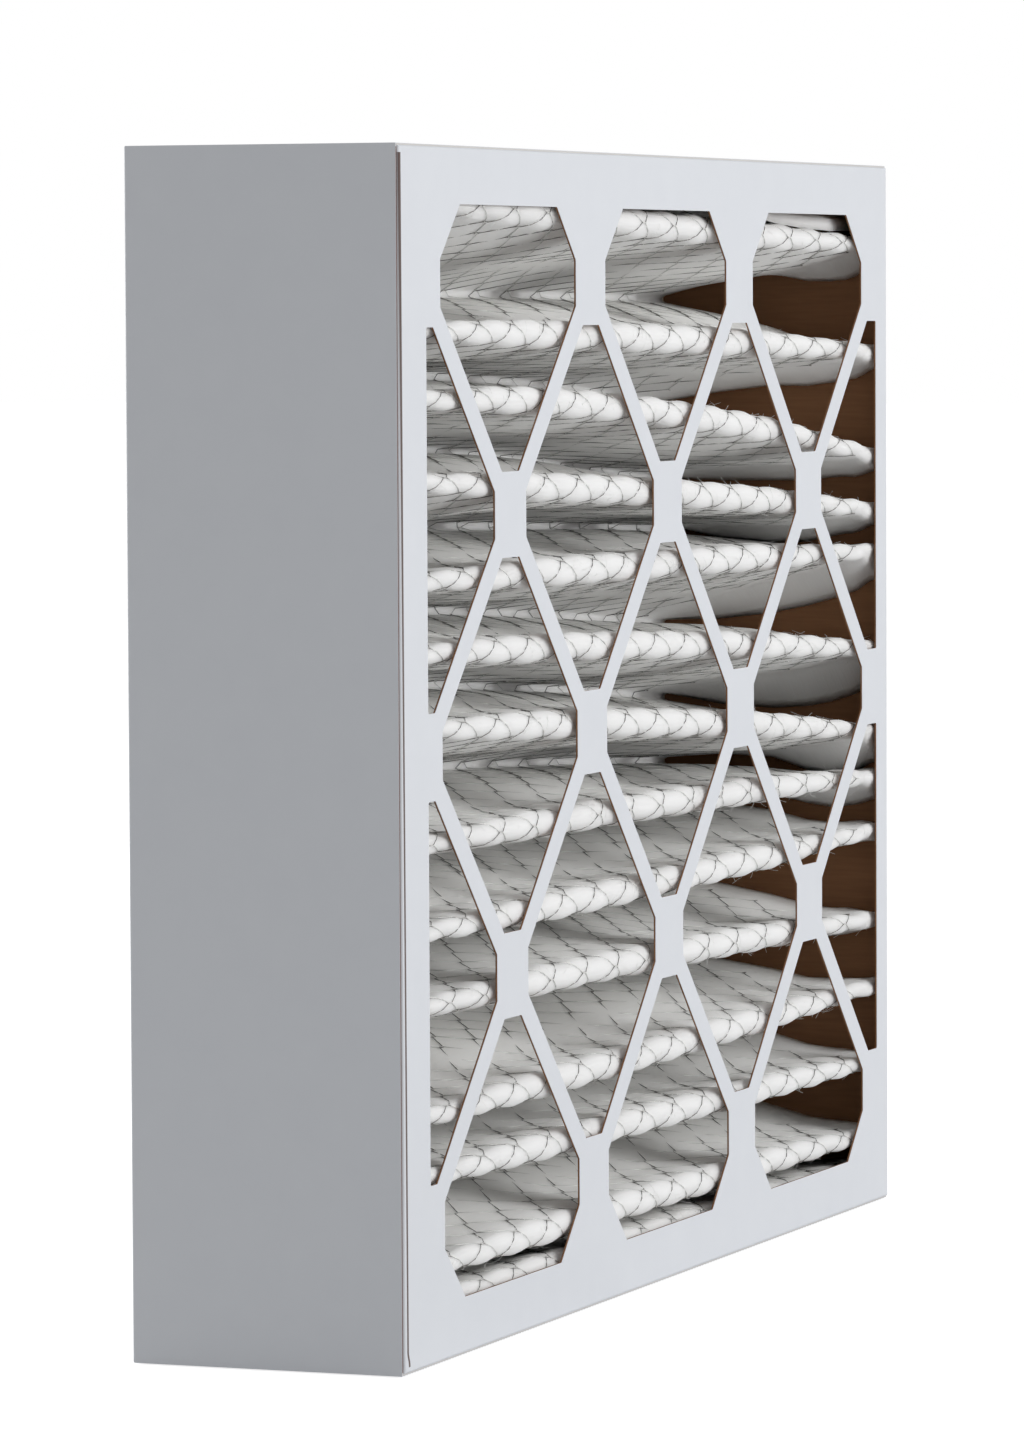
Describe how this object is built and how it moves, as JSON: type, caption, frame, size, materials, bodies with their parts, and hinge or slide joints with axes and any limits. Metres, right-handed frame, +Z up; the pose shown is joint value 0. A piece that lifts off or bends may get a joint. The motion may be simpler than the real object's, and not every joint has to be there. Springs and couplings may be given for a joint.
{
  "type": "pleated panel air filter",
  "caption": "Box-framed pleated panel air filter: nested folded board trays with diamond windows hold a pleated fibre sheet laminated to an expanded metal grid.",
  "frame": {"origin": "middle of the outer box at its base, standing on one long edge", "axes": "+X along the pleats, +Y from the front (grid) side to the rear side, +Z up across the pleats"},
  "size_m": [0.4952, 0.0952, 0.3937],
  "materials": {
    "coated_board": "clay-coated white outside, raw brown kraft inside and on cut edges",
    "fibre_media": "lofty white synthetic fibre, unwoven",
    "grid_steel": "thin bare expanded steel",
    "glue": "dried white adhesive"
  },
  "bodies": {
    "root": {"rear_tray": "coated_board", "front_tray": "coated_board", "pleated_media": "fibre_media", "support_grid": "grid_steel", "left_edge_adhesive": "glue", "right_edge_adhesive": "glue", "top_adhesive": "glue", "bottom_adhesive": "glue"}
  },
  "joints": []
}
